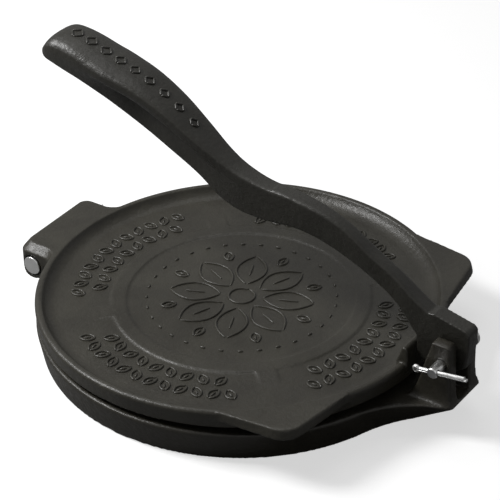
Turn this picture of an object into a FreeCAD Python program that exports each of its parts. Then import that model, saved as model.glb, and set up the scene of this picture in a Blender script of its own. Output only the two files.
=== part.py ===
import FreeCAD, Part
import math
import os

# Cast-iron tortilla press: a base, a hinged lid, a pressing lever, two pins and two split pins.
# Millimetres, +Z up. The origin is the centre of the base disc on the table.
# The hinge is on the +Y side and the lever's pivot on the -Y side.

# Overall sizes and fits
press_radius = 106.0
base_height = 16.4
lid_gap = 0.3
lid_tilt_degrees = 1.04
pin_radius = 2.9
pin_clearance = 0.05
end_clearance = 0.2
overrun = 2.0
pick_tolerance = 0.05

# Base disc: a plate with a skirt, hollow below
base_draft = 2.7
base_edge_round = 1.4
base_plate = 5.2
skirt_wall = 5.0
hollow_round = 4.0
rib_count = 6
rib_thickness = 4.5
rib_setback = 2.5
hub_radius = 11.0

# Tongue that carries the lever's pivot
tongue_reach = 26.9
tongue_end_width = 27.0
tongue_neck_width = 36.0
tongue_neck_reach = 15.5
tongue_root_width = 84.0
tongue_foot_width = 26.6
tongue_foot_reach = 6.3
tongue_foot_root_width = 68.6
tongue_top_bend_shares = (0.66, 0.52)
tongue_foot_bend_shares = (0.49, 0.40)
tongue_round = 0.5

# Lugs on the tongue; each row is height share, outward spread share, front share and back share
lever_pin_reach = 18.5
lever_pin_height = 39.0
lug_thickness = 6.8
lug_slot_clearance = 1.6
lug_rise = 11.3
lug_front = 5.0
lug_back = 5.3
lug_foot_spread = 1.5
lug_foot_front = 3.0
lug_foot_back = 11.2
lug_top_round = 2.6
lug_rows_shares = (
    (0.00, 1.00, 1.00, 1.00),
    (0.10, 0.45, 0.55, 0.80),
    (0.30, 0.20, 0.25, 0.56),
    (0.60, 0.10, 0.12, 0.33),
    (1.00, 0.00, 0.00, 0.00),
)

# Hinge at the back
hinge_pin_reach = 9.5
hinge_pin_height = 15.0
knuckle_radius = 7.3
knuckle_side_clearance = 0.5
ear_radius = 8.0
ear_thickness = 7.0
ear_clearance = 0.9
hinge_web_foot = 2.0
hinge_web_top = 14.0

# Lid: a plate with a raised rim, coved inside
lid_plate = 4.6
lid_height = 9.9
rim_draft = 1.1
rim_width = 3.6
rim_wall_drop = 1.2
rim_wall_lean = 0.7
cove_width = 8.2
cove_bend_shares = (0.38, 0.72)
rim_round = 2.0

# Raised ring on the lid with four short spokes
ring_inner_radius = 58.7
ring_width = 8.8
ring_height = 0.8
ring_bevel = 0.8
spoke_count = 4
spoke_width = 10.0
spoke_length = 12.0

# Lifting tabs
tab_angle_degrees = 45.0
tab_front_root_degrees = 22.4
tab_back_root_degrees = 16.7
tab_reach = 16.7
tab_tip_radius = 12.8
tab_thickness = 5.5

# Nose that the lever presses
nose_width = 22.4
nose_height = 9.0
nose_setback = 0.3
nose_top_width = 3.1
nose_foot_width = 6.5
nose_round = 2.6

# Hinge wing on the lid
wing_width = 54.0
wing_back = 8.5
wing_plate = 3.4
wing_bevel = 2.0
wing_bevel_drop = 3.6
wing_root_width = 66.0
wing_root_bend_shares = (0.72, 0.45)
recess_width = 44.0
recess_reach = 0.3

# Lever: an arm from the pivot to the handle's end, cast in one with the head
arm_length = 241.0
arm_rise = 106.0
head_width = 9.0
grip_width = 29.0
crown_height = 2.4
lip_depth = 5.0
lip_inset = 0.9
foot_corner = 1.0
# Rows: place along the arm, shoulder height, foot height (shares of length and rise),
# top width and foot width (shares of the grip width), crown share, groove share
arm_rows_shares = (
    (0.052, 0.194, 0.052, 0.310, 0.310, 0.00, 0.00),
    (0.079, 0.229, 0.050, 0.310, 0.310, 0.00, 0.00),
    (0.114, 0.283, 0.144, 0.300, 0.300, 0.00, 0.00),
    (0.168, 0.357, 0.235, 0.279, 0.276, 0.00, 0.00),
    (0.234, 0.444, 0.307, 0.279, 0.276, 0.00, 0.00),
    (0.309, 0.515, 0.363, 0.300, 0.290, 0.00, 0.00),
    (0.384, 0.542, 0.382, 0.334, 0.331, 0.00, 0.00),
    (0.454, 0.546, 0.367, 0.352, 0.345, 0.10, 0.00),
    (0.517, 0.568, 0.371, 0.421, 0.321, 0.30, 0.15),
    (0.562, 0.616, 0.408, 0.490, 0.290, 0.50, 0.45),
    (0.616, 0.683, 0.494, 0.641, 0.276, 0.70, 0.80),
    (0.683, 0.775, 0.570, 0.779, 0.276, 0.90, 1.00),
    (0.753, 0.857, 0.647, 0.890, 0.276, 1.00, 1.00),
    (0.824, 0.905, 0.713, 0.990, 0.310, 1.00, 0.90),
    (0.865, 0.925, 0.775, 0.986, 0.483, 1.10, 0.55),
    (0.902, 0.949, 0.839, 0.941, 0.707, 1.10, 0.25),
    (0.936, 0.969, 0.863, 0.917, 0.793, 1.10, 0.10),
    (0.967, 0.976, 0.876, 0.910, 0.814, 1.00, 0.05),
    (0.985, 0.974, 0.882, 0.897, 0.807, 0.95, 0.00),
    (0.996, 0.964, 0.892, 0.828, 0.759, 0.80, 0.00),
    (1.000, 0.952, 0.906, 0.707, 0.655, 0.50, 0.00),
)

# Lever head around the pivot: a cam towards the lid, a heel towards the front
head_front = 9.0
head_top = 17.1
head_crest = 21.1
head_crest_back = 9.8
head_kink_back = 12.5
head_kink_height = 20.4
head_front_crown = 1.2
head_corner_round = 3.2
heel_drop = 3.5
sole_drop = 9.5
sole_front = 1.5
sole_back = 12.0
cam_reach = 18.3
cam_top = 2.0
cam_drop = 5.0
cam_lean = 0.7
cam_lean_rise = 2.8

# Pins
pin_head_radius = 5.2
pin_head_thickness = 2.8
pin_head_round = 0.8
pin_end_chamfer = 0.5
lever_pin_tail = 8.3
hinge_pin_tail = 7.0
cotter_setback = 1.8

# Split pins: two half-round legs and an eye
cotter_radius = 1.6
cotter_hole_clearance = 0.1
cotter_slit = 0.2
cotter_eye_bore = 1.2
lever_cotter_eye = 9.4
lever_cotter_tail = 19.0
lever_cotter_tilt_degrees = 170.8
hinge_cotter_eye = 7.6
hinge_cotter_tail = 11.5
hinge_cotter_tilt_degrees = -90.0
cotter_leg_step = 1.2

# Values worked out from the sizes above
base_foot_radius = press_radius - base_draft
hollow_height = base_height - base_plate
lid_bottom = base_height + lid_gap
lid_floor = lid_bottom + lid_plate
lid_top = lid_bottom + lid_height
rim_inner_radius = press_radius - rim_width
lever_pin_y = -(press_radius + lever_pin_reach)
hinge_pin_y = press_radius + hinge_pin_reach
slot_half = head_width / 2 + lug_slot_clearance
lug_outer = slot_half + lug_thickness
lug_top = lever_pin_height + lug_rise
wing_half = wing_width / 2
ear_inner = wing_half - ear_thickness
knuckle_half = ear_inner - knuckle_side_clearance
pocket_radius = knuckle_radius + ear_clearance
wing_end_y = hinge_pin_y + wing_back
lever_pin_seat = lug_outer + lug_foot_spread
lever_pin_end = -(lug_outer + lever_pin_tail)
lever_cotter_x = lever_pin_end + cotter_setback
hinge_pin_seat = wing_half + end_clearance
hinge_pin_end = hinge_pin_seat + hinge_pin_tail
hinge_cotter_x = hinge_pin_end - cotter_radius - cotter_setback


def at(x, y, z):
    """A point or a direction."""
    return FreeCAD.Vector(x, y, z)


def line(first, second):
    """A straight edge."""
    return Part.LineSegment(first, second).toShape()


def arc(first, middle, last):
    """A round edge through three points."""
    return Part.Arc(first, middle, last).toShape()


def share_point(first, last, shares, height):
    """A point between two places, each coordinate by its own share."""
    x = first[0] + (last[0] - first[0]) * shares[0]
    y = first[1] + (last[1] - first[1]) * shares[1]
    return at(x, y, height)


def side_plate(points, width):
    """A plate with an outline of (y, z) places, centred across X."""
    ring = [at(-width / 2, y, z) for y, z in points]
    face = Part.Face(Part.makePolygon(ring + ring[:1]))
    return face.extrude(at(width, 0, 0))


def block(x_low, x_high, y_low, y_high, z_low, z_high):
    """A block between three pairs of limits."""
    size = at(x_high - x_low, y_high - y_low, z_high - z_low)
    return Part.makeBox(size.x, size.y, size.z, at(x_low, y_low, z_low))


def rod_x(radius, x_low, x_high, y, z):
    """A round bar along X."""
    return Part.makeCylinder(radius, x_high - x_low, at(x_low, y, z), at(1, 0, 0))


def turned(edges):
    """A solid turned about the Z axis from the edges of half a section."""
    face = Part.Face(Part.Wire(edges))
    return face.revolve(at(0, 0, 0), at(0, 0, 1), 360)


def on_circle(radius, x):
    """The distance from the centre line at which a circle passes a given x."""
    return math.sqrt(radius * radius - x * x)


def round_edges(shape, radius, wanted):
    """Round the edges that a test picks out."""
    chosen = [edge for edge in shape.Edges if wanted(edge)]
    return shape.makeFillet(radius, chosen)


# Base
def base_disc():
    """The round plate with its leaning skirt, solid for now."""
    top_round_start = at(press_radius - base_edge_round, 0, base_height)
    top_round_end = at(press_radius, 0, base_height - base_edge_round)
    lean = base_edge_round * (1 - math.sqrt(0.5))
    top_round_middle = at(press_radius - lean, 0, base_height - lean)
    centre_top = at(0, 0, base_height)
    centre_foot = at(0, 0, 0)
    foot = at(base_foot_radius, 0, 0)
    return turned([
        line(centre_foot, foot),
        line(foot, top_round_end),
        arc(top_round_end, top_round_middle, top_round_start),
        line(top_round_start, centre_top),
        line(centre_top, centre_foot),
    ])


def base_hollow():
    """The space below the plate, with a round corner under the skirt."""
    wall_foot = base_foot_radius - skirt_wall
    wall_top = wall_foot
    bend = hollow_round * (1 - math.sqrt(0.5))
    below = -overrun
    corner_low = at(wall_top, 0, hollow_height - hollow_round)
    corner_middle = at(wall_top - bend, 0, hollow_height - bend)
    corner_high = at(wall_top - hollow_round, 0, hollow_height)
    return turned([
        line(at(0, 0, below), at(wall_foot, 0, below)),
        line(at(wall_foot, 0, below), corner_low),
        arc(corner_low, corner_middle, corner_high),
        line(corner_high, at(0, 0, hollow_height)),
        line(at(0, 0, hollow_height), at(0, 0, below)),
    ])


def base_ribs():
    """The ribs below the plate and the hub in the middle, which stands on the table."""
    length = base_foot_radius - skirt_wall / 2
    hub = Part.makeCylinder(hub_radius, hollow_height)
    ribs = []
    for index in range(rib_count):
        rib = block(0, length, -rib_thickness / 2, rib_thickness / 2, rib_setback, hollow_height)
        rib.rotate(at(0, 0, 0), at(0, 0, 1), 360 * (index + 0.5) / rib_count)
        ribs.append(rib)
    return hub.fuse(ribs)


def tongue_wire(height, radius, root_width, neck, end, shares):
    """One outline of the tongue, seen from above: root, bent side, tapered end."""
    root = (root_width / 2, -on_circle(radius, root_width / 2))
    back_y = root[1] + overrun
    right = [
        at(root[0], back_y, height),
        at(root[0], root[1], height),
        share_point(root, neck, shares, height),
        at(neck[0], neck[1], height),
        at(end[0], end[1], height),
    ]
    left = [at(-point.x, point.y, point.z) for point in right]
    return Part.Wire([
        line(left[0], right[0]),
        line(right[0], right[1]),
        arc(right[1], right[2], right[3]),
        line(right[3], right[4]),
        line(right[4], left[4]),
        line(left[4], left[3]),
        arc(left[3], left[2], left[1]),
        line(left[1], left[0]),
    ])


def tongue():
    """The tongue, whose underside sweeps up from the foot to the front edge."""
    foot_y = -(base_foot_radius + tongue_foot_reach)
    top_y = -(press_radius + tongue_reach)
    foot_end = (tongue_foot_width / 2 - tongue_round, foot_y - tongue_round)
    foot = tongue_wire(0, base_foot_radius, tongue_foot_root_width,
                       (tongue_foot_width / 2, foot_y), foot_end, tongue_foot_bend_shares)
    neck = (tongue_neck_width / 2, -(press_radius + tongue_neck_reach))
    end = (tongue_end_width / 2, top_y)
    waist_height = base_height - tongue_round
    waist = tongue_wire(waist_height, press_radius, tongue_root_width, neck, end,
                        tongue_top_bend_shares)
    top_neck = (neck[0] - tongue_round, neck[1] + tongue_round)
    top_end = (end[0] - tongue_round, end[1] + tongue_round)
    top = tongue_wire(base_height, press_radius - tongue_round, tongue_root_width, top_neck,
                      top_end, tongue_top_bend_shares)
    lower = Part.makeLoft([foot, waist], True, True)
    upper = Part.makeLoft([waist, top], True, True)
    return lower.fuse(upper)


def lug(side):
    """One upright lug, widening towards its foot."""
    wires = []
    foot_height = base_height - tongue_round
    for height_share, spread_share, front_share, back_share in lug_rows_shares:
        height = foot_height + (lug_top - foot_height) * height_share
        outer = side * (lug_outer + lug_foot_spread * spread_share)
        inner = side * slot_half
        front = lever_pin_y - lug_front - lug_foot_front * front_share
        back = lever_pin_y + lug_back + lug_foot_back * back_share
        corners = [at(inner, front, height), at(outer, front, height),
                   at(outer, back, height), at(inner, back, height)]
        wires.append(Part.makePolygon(corners + corners[:1]))
    body = Part.makeLoft(wires, True, False)
    front_edge_y = lever_pin_y - lug_front

    def is_front_top(edge):
        centre = edge.CenterOfMass
        at_top = abs(centre.z - lug_top) < pick_tolerance
        return at_top and abs(centre.y - front_edge_y) < pick_tolerance

    return round_edges(body, lug_top_round, is_front_top)


def hinge_knuckle():
    """The knuckle that the hinge pin passes, with the web that joins it to the disc."""
    barrel = rod_x(knuckle_radius, -knuckle_half, knuckle_half, hinge_pin_y, hinge_pin_height)
    start_y = base_foot_radius - skirt_wall / 2
    end_y = hinge_pin_y - knuckle_radius / 3
    end_foot = hinge_pin_height - on_circle(knuckle_radius, knuckle_radius / 3)
    web = side_plate([
        (start_y, hinge_web_foot),
        (base_foot_radius, hinge_web_foot),
        (end_y, end_foot),
        (end_y, hinge_web_top),
        (start_y, hinge_web_top),
    ], knuckle_half * 2)
    return barrel.fuse(web)


def make_base():
    """The whole base casting."""
    body = base_disc().fuse([tongue(), lug(-1), lug(1), hinge_knuckle()])
    body = body.cut(base_hollow()).fuse(base_ribs())
    reach = lug_outer + lug_foot_spread + overrun
    bore = pin_radius + pin_clearance
    body = body.cut(rod_x(bore, -reach, reach, lever_pin_y, lever_pin_height))
    body = body.cut(rod_x(bore, -wing_half, wing_half, hinge_pin_y, hinge_pin_height))
    return body.removeSplitter()


# Lid
def lid_disc():
    """The lid's plate and rim, turned from one section."""
    inner_top = at(rim_inner_radius, 0, lid_top)
    wall_end = at(rim_inner_radius - rim_wall_lean, 0, lid_top - rim_wall_drop)
    cove_end = at(wall_end.x - cove_width, 0, lid_floor)
    cove_drop = wall_end.z - lid_floor
    cove_middle = at(wall_end.x - cove_width * cove_bend_shares[0], 0,
                     wall_end.z - cove_drop * cove_bend_shares[1])
    lean = rim_round * (1 - math.sqrt(0.5))
    round_start = at(press_radius - rim_round, 0, lid_top)
    round_middle = at(press_radius - lean, 0, lid_top - lean)
    round_end = at(press_radius, 0, lid_top - rim_round)
    foot = at(press_radius - rim_draft, 0, lid_bottom)
    return turned([
        line(at(0, 0, lid_bottom), foot),
        line(foot, round_end),
        arc(round_end, round_middle, round_start),
        line(round_start, inner_top),
        line(inner_top, wall_end),
        arc(wall_end, cove_middle, cove_end),
        line(cove_end, at(0, 0, lid_floor)),
        line(at(0, 0, lid_floor), at(0, 0, lid_bottom)),
    ])


def lid_ring():
    """The raised ring on the lid's floor and its fading spokes."""
    outer = ring_inner_radius + ring_width
    low = lid_floor - ring_height
    high = lid_floor + ring_height
    ring = turned([
        line(at(ring_inner_radius, 0, low), at(outer, 0, low)),
        line(at(outer, 0, low), at(outer, 0, lid_floor)),
        line(at(outer, 0, lid_floor), at(outer - ring_bevel, 0, high)),
        line(at(outer - ring_bevel, 0, high), at(ring_inner_radius + ring_bevel, 0, high)),
        line(at(ring_inner_radius + ring_bevel, 0, high), at(ring_inner_radius, 0, lid_floor)),
        line(at(ring_inner_radius, 0, lid_floor), at(ring_inner_radius, 0, low)),
    ])
    start = outer - ring_width / 2
    spoke = side_plate([(start, low), (outer + spoke_length, low),
                        (outer + spoke_length, lid_floor), (outer, high), (start, high)],
                       spoke_width)
    spokes = []
    for index in range(spoke_count):
        turned_spoke = spoke.copy()
        angle = 360 * (index + 0.5) / spoke_count
        turned_spoke.rotate(at(0, 0, 0), at(0, 0, 1), angle)
        spokes.append(turned_spoke)
    return ring.fuse(spokes)


def tangent_place(root, centre, radius, side):
    """Where a straight side from the root touches the round tip."""
    gap = root - centre
    lean = math.atan2(gap.y, gap.x) - side * math.acos(radius / gap.Length)
    return centre + at(radius * math.cos(lean), radius * math.sin(lean), 0)


def lifting_tab(side):
    """A flat tab with straight sides that run from the rim to a round tip."""
    centre = at(press_radius + tab_reach - tab_tip_radius, 0, 0)
    tip = centre + at(tab_tip_radius, 0, 0)
    roots = []
    touches = []
    for way, root_degrees in ((side, tab_back_root_degrees), (-side, tab_front_root_degrees)):
        angle = way * math.radians(root_degrees)
        root = at(press_radius * math.cos(angle), press_radius * math.sin(angle), 0)
        roots.append(root)
        touches.append(tangent_place(root, centre, tab_tip_radius, way))
    inner = [root * (rim_inner_radius / press_radius) for root in roots]
    wire = Part.Wire([
        line(inner[0], roots[0]),
        line(roots[0], touches[0]),
        arc(touches[0], tip, touches[1]),
        line(touches[1], roots[1]),
        line(roots[1], inner[1]),
        line(inner[1], inner[0]),
    ])
    tab = Part.Face(wire).extrude(at(0, 0, tab_thickness))
    tab.translate(at(0, 0, lid_top - tab_thickness))
    tab.rotate(at(0, 0, 0), at(0, 0, 1), side * tab_angle_degrees - 90)
    return tab


def lid_nose():
    """The block at the front of the rim that the lever's cam presses."""
    outer_y = -(press_radius - nose_setback)
    top = lid_top + nose_height
    low = lid_floor
    body = side_plate([
        (outer_y, low),
        (outer_y, top),
        (outer_y + nose_top_width, top),
        (outer_y + nose_foot_width, lid_top),
        (outer_y + nose_foot_width, low),
    ], nose_width)

    def is_outer_top(edge):
        centre = edge.CenterOfMass
        return abs(centre.z - top) < pick_tolerance and abs(centre.y - outer_y) < pick_tolerance

    return round_edges(body, nose_round, is_outer_top)


def hinge_wing():
    """The wing at the back of the lid with an ear at each end."""
    root_y = on_circle(press_radius, wing_root_width / 2) - rim_width / 2
    front_y = hinge_pin_y - ear_radius
    root = (wing_root_width / 2, root_y)
    bend_end = (wing_half, front_y)
    right = [at(root[0], root[1], lid_bottom),
             share_point(root, bend_end, wing_root_bend_shares, lid_bottom),
             at(bend_end[0], bend_end[1], lid_bottom),
             at(wing_half, wing_end_y, lid_bottom)]
    left = [at(-point.x, point.y, point.z) for point in right]
    wire = Part.Wire([
        line(left[0], right[0]),
        arc(right[0], right[1], right[2]),
        line(right[2], right[3]),
        line(right[3], left[3]),
        line(left[3], left[2]),
        arc(left[2], left[1], left[0]),
    ])
    body = Part.Face(wire).extrude(at(0, 0, lid_height))
    ears = []
    for side in (-1, 1):
        low_x = min(side * ear_inner, side * wing_half)
        boss = rod_x(ear_radius, low_x, low_x + ear_thickness, hinge_pin_y, hinge_pin_height)
        back = block(low_x, low_x + ear_thickness, hinge_pin_y - ear_radius, wing_end_y,
                     hinge_pin_height, lid_top)
        trim = side_plate([
            (hinge_pin_y + ear_radius, hinge_pin_height - overrun),
            (wing_end_y + overrun, hinge_pin_height - overrun),
            (wing_end_y + overrun, lid_top - wing_bevel_drop),
            (wing_end_y, lid_top - wing_bevel_drop),
            (hinge_pin_y + ear_radius, hinge_pin_height),
        ], wing_width + overrun)
        ears.append(boss.fuse(back.cut(trim)))
    between = block(-ear_inner, ear_inner, hinge_pin_y - pocket_radius,
                    wing_end_y + overrun, lid_bottom - overrun, lid_top - wing_plate)
    body = body.cut(between).fuse(ears)
    bevel = side_plate([
        (wing_end_y - wing_bevel, lid_top),
        (wing_end_y, lid_top - wing_bevel_drop),
        (wing_end_y + overrun, lid_top - wing_bevel_drop),
        (wing_end_y + overrun, lid_top + overrun),
        (wing_end_y - wing_bevel, lid_top + overrun),
    ], wing_width + overrun)
    return body.cut(bevel)


def wing_recess():
    """The place in front of the wing where the lid's floor runs further out."""
    reach = rim_inner_radius + recess_reach
    slope = rim_wall_lean + cove_width / 2
    return side_plate([
        (reach - slope - ring_width, lid_floor),
        (reach - slope, lid_floor),
        (reach, lid_top + pin_clearance),
        (reach - slope - ring_width, lid_top + pin_clearance),
    ], recess_width)


def make_lid():
    """The whole lid casting, leaning back by the small tilt at which it rests."""
    parts = [lid_ring(), lid_nose(), hinge_wing()]
    for side in (-1, 1):
        parts.append(lifting_tab(side))
    body = lid_disc().fuse(parts)
    body = body.cut(wing_recess())
    bore = pin_radius + pin_clearance
    reach = wing_half + overrun
    body = body.cut(rod_x(bore, -reach, reach, hinge_pin_y, hinge_pin_height))
    body = body.removeSplitter()
    body.rotate(at(0, hinge_pin_y, hinge_pin_height), at(-1, 0, 0), lid_tilt_degrees)
    return body


# Lever
def arm_section(row):
    """One upright section of the arm: a crowned cap over a web with a groove at each side."""
    along, shoulder_share, foot_share, top_share, web_share, crown_share, groove_share = row
    y = lever_pin_y + arm_length * along
    shoulder = lever_pin_height + arm_rise * shoulder_share
    foot = lever_pin_height + arm_rise * foot_share
    cap_half = grip_width * top_share / 2
    web_half = grip_width * web_share / 2
    crown = shoulder + crown_height * crown_share
    depth = lip_depth
    lip = shoulder - depth
    lip_half = cap_half - lip_inset * groove_share
    waist_half = lip_half + (web_half - lip_half) * groove_share
    waist = lip - (cap_half - waist_half) / 2
    knee = (waist + foot + foot_corner) / 2
    right = [
        at(web_half - foot_corner, y, foot),
        at(web_half, y, foot + foot_corner),
        at(web_half + (waist_half - web_half) / 2, y, knee),
        at(waist_half, y, waist - foot_corner),
        at(lip_half, y, lip),
        at(cap_half, y, shoulder - foot_corner),
        at(cap_half - foot_corner, y, shoulder),
    ]
    left = [at(-point.x, point.y, point.z) for point in right]
    top = at(0, y, crown + foot_corner / 2 * crown_share)
    return Part.Wire([
        line(left[0], right[0]),
        line(right[0], right[1]),
        line(right[1], right[2]),
        line(right[2], right[3]),
        line(right[3], right[4]),
        line(right[4], right[5]),
        line(right[5], right[6]),
        line(right[6], top),
        line(top, left[6]),
        line(left[6], left[5]),
        line(left[5], left[4]),
        line(left[4], left[3]),
        line(left[3], left[2]),
        line(left[2], left[1]),
        line(left[1], left[0]),
    ])


def lever_head():
    """The head around the pivot, with its heel, its cam face and a crowned front corner."""
    y = lever_pin_y
    z = lever_pin_height
    front = y - head_front
    points = [
        (front, z - heel_drop),
        (front - head_front_crown, z + head_top / 2),
        (front - head_front_crown, z + head_top),
        (y + head_crest_back, z + head_crest),
        (y + head_kink_back, z + head_kink_height),
        (y + cam_reach + cam_lean, z + cam_top + cam_lean_rise),
        (y + cam_reach, z + cam_top),
        (y + cam_reach, z - cam_drop),
        (y + sole_back, z - sole_drop),
        (y - sole_front, z - sole_drop),
    ]
    body = side_plate(points, head_width)

    def is_front_top(edge):
        centre = edge.CenterOfMass
        near_top = abs(centre.z - z - head_top) < pick_tolerance
        return near_top and abs(centre.y - front + head_front_crown) < pick_tolerance

    return round_edges(body, head_corner_round, is_front_top)


def make_lever():
    """The whole lever casting with its pivot bore."""
    arm = Part.makeLoft([arm_section(row) for row in arm_rows_shares], True, False)
    body = arm.fuse(lever_head())
    bore = pin_radius + pin_clearance
    reach = head_width / 2 + overrun
    body = body.cut(rod_x(bore, -reach, reach, lever_pin_y, lever_pin_height))
    return body.removeSplitter()


# Pins and split pins
def headed_pin(shank_start, shank_end, head_side, y, z):
    """A round pin along X with a rounded head at one end and a cross hole near the other."""
    body = rod_x(pin_radius, shank_start, shank_end, y, z)
    tail = shank_end if head_side < 0 else shank_start

    def is_tail(edge):
        return abs(edge.CenterOfMass.x - tail) < pick_tolerance

    body = body.makeChamfer(pin_end_chamfer, [edge for edge in body.Edges if is_tail(edge)])
    head_seat = shank_start if head_side < 0 else shank_end
    low = min(head_seat, head_seat + head_side * pin_head_thickness)
    head = rod_x(pin_head_radius, low, low + pin_head_thickness, y, z)
    outer = head_seat + head_side * pin_head_thickness

    def is_outer(edge):
        return abs(edge.CenterOfMass.x - outer) < pick_tolerance

    head = round_edges(head, pin_head_round, is_outer)
    return body.fuse(head).removeSplitter()


def cotter_hole(x, y, z, tilt):
    """The cross hole that a split pin passes."""
    reach = pin_radius + overrun
    hole = Part.makeCylinder(cotter_radius + cotter_hole_clearance, reach * 2,
                             at(x, y - reach, z), at(0, 1, 0))
    hole.rotate(at(x, y, z), at(1, 0, 0), tilt)
    return hole


def split_pin(x, y, z, eye, tail, tilt):
    """Two half-round legs with a slit between them, joined by a round eye."""
    legs = []
    for side in (-1, 1):
        length = eye + tail + (cotter_leg_step if side > 0 else 0)
        leg = Part.makeCylinder(cotter_radius, length, at(0, -eye, 0), at(0, 1, 0))
        tip_y = length - eye

        def is_tip(edge):
            return abs(edge.CenterOfMass.y - tip_y) < pick_tolerance

        leg = round_edges(leg, cotter_radius / 2, is_tip)
        keep_low = cotter_slit / 2 if side > 0 else -cotter_radius - overrun
        keep_high = cotter_radius + overrun if side > 0 else -cotter_slit / 2
        half = block(-cotter_radius - overrun, cotter_radius + overrun, -eye - overrun,
                     length + overrun, keep_low, keep_high)
        legs.append(leg.common(half))
    ring_inner = cotter_eye_bore
    start = at(-cotter_radius, -eye, ring_inner)
    crest = at(0, -eye, ring_inner + cotter_radius)
    end = at(cotter_radius, -eye, ring_inner)
    profile = Part.Face(Part.Wire([arc(start, crest, end), line(end, start)]))
    ring = profile.revolve(at(0, -eye, 0), at(1, 0, 0), 360)
    bore = Part.makeCylinder(ring_inner, cotter_radius * 4, at(-cotter_radius * 2, -eye, 0),
                             at(1, 0, 0))
    body = legs[0].fuse([legs[1], ring]).cut(bore)
    body = body.removeSplitter()
    body.rotate(at(0, 0, 0), at(1, 0, 0), tilt)
    body.translate(at(x, y, z))
    return body


def make_lever_pin():
    """The pin that the lever turns on."""
    pin = headed_pin(lever_pin_end, lever_pin_seat, 1, lever_pin_y, lever_pin_height)
    return pin.cut(cotter_hole(lever_cotter_x, lever_pin_y, lever_pin_height,
                               lever_cotter_tilt_degrees))


def make_hinge_pin():
    """The pin that the lid turns on."""
    pin = headed_pin(-hinge_pin_seat, hinge_pin_end, -1, hinge_pin_y, hinge_pin_height)
    return pin.cut(cotter_hole(hinge_cotter_x, hinge_pin_y, hinge_pin_height,
                               hinge_cotter_tilt_degrees))


def make_lever_cotter():
    """The split pin through the lever pin's end."""
    return split_pin(lever_cotter_x, lever_pin_y, lever_pin_height, lever_cotter_eye,
                     lever_cotter_tail, lever_cotter_tilt_degrees)


def make_hinge_cotter():
    """The split pin through the hinge pin's hidden end."""
    return split_pin(hinge_cotter_x, hinge_pin_y, hinge_pin_height, hinge_cotter_eye,
                     hinge_cotter_tail, hinge_cotter_tilt_degrees)


makers = {
    "base": make_base,
    "lid": make_lid,
    "lever": make_lever,
    "lever_pin": make_lever_pin,
    "lever_cotter": make_lever_cotter,
    "hinge_pin": make_hinge_pin,
    "hinge_cotter": make_hinge_cotter,
}

os.makedirs("parts", exist_ok=True)
for name, maker in makers.items():
    shape = maker()
    box = shape.BoundBox
    print(name, "solids", len(shape.Solids), "valid", shape.isValid(),
          "volume", round(shape.Volume), "x", round(box.XMin, 1), round(box.XMax, 1),
          "y", round(box.YMin, 1), round(box.YMax, 1), "z", round(box.ZMin, 1), round(box.ZMax, 1))
    shape.exportStep("parts/" + name + ".step")
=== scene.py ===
import bpy
import bmesh
import math
from mathutils import Matrix, Vector
from mathutils.bvhtree import BVHTree

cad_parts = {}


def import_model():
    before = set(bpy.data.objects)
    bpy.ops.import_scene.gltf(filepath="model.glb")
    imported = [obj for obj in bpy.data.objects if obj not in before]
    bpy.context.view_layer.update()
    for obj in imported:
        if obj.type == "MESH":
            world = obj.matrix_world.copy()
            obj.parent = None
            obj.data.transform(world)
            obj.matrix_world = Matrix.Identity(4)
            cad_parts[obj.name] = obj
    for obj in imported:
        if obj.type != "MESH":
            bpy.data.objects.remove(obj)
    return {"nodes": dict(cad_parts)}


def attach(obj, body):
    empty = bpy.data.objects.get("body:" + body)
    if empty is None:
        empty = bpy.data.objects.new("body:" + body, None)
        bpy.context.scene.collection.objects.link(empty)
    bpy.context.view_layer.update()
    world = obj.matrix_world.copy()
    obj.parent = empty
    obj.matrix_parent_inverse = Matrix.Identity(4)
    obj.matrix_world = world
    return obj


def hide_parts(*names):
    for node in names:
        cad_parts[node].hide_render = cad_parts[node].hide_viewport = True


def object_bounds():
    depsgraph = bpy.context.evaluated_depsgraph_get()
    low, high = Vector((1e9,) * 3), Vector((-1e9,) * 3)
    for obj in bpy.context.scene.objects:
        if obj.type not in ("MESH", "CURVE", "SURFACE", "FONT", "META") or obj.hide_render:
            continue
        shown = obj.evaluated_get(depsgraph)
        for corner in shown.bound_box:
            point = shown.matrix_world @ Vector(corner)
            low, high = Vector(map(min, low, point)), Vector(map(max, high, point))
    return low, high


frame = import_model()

# Looks of the tortilla press. Metres, in the frame of the solids.
MM = 0.001
CAD_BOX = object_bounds()

# Camera, as the photograph was taken
CAMERA_AZIMUTH = math.radians(-55.465)
CAMERA_ELEVATION = math.radians(33.528)
CAMERA_ROLL = math.radians(-0.165)
CAMERA_DISTANCE = 1.150943
CAMERA_TARGET = Vector((0.054411, 0.032178, 0.010))
CAMERA_SENSOR = 36.0
CAMERA_LENS = 152.70
CAMERA_CLIP = (0.05, 50.0)

# Light that reaches the object from all round, and how the floor takes part
AMBIENT = 0.10
FLOOR_BOUNCE = (0.10, 0.10, 0.10)
FLOOR_LIFT = 0.60
MIRRORED_SHARE = 0.28

# Lamps: name, place, aim, size and power
LAMPS = (
    ("key", (-0.32, 0.62, 0.74), (0.0, 0.0, 0.03), 0.32, 8.8),
    ("top", (0.35, 0.35, 1.40), (0.0, 0.0, 0.03), 0.80, 2.4),
    ("front", (-0.90, -0.90, 0.70), (0.0, 0.0, 0.05), 0.60, 0.3),
)

# Floor: half its side, how far below the foot it lies, and its two shades
FLOOR_HALF = 6.0
FLOOR_DROP = 0.2 * MM
FLOOR_FIBRE_SCALE = 60.0
FLOOR_SHADES = ((0.62, 0.62, 0.62), (0.64, 0.64, 0.64))

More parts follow.
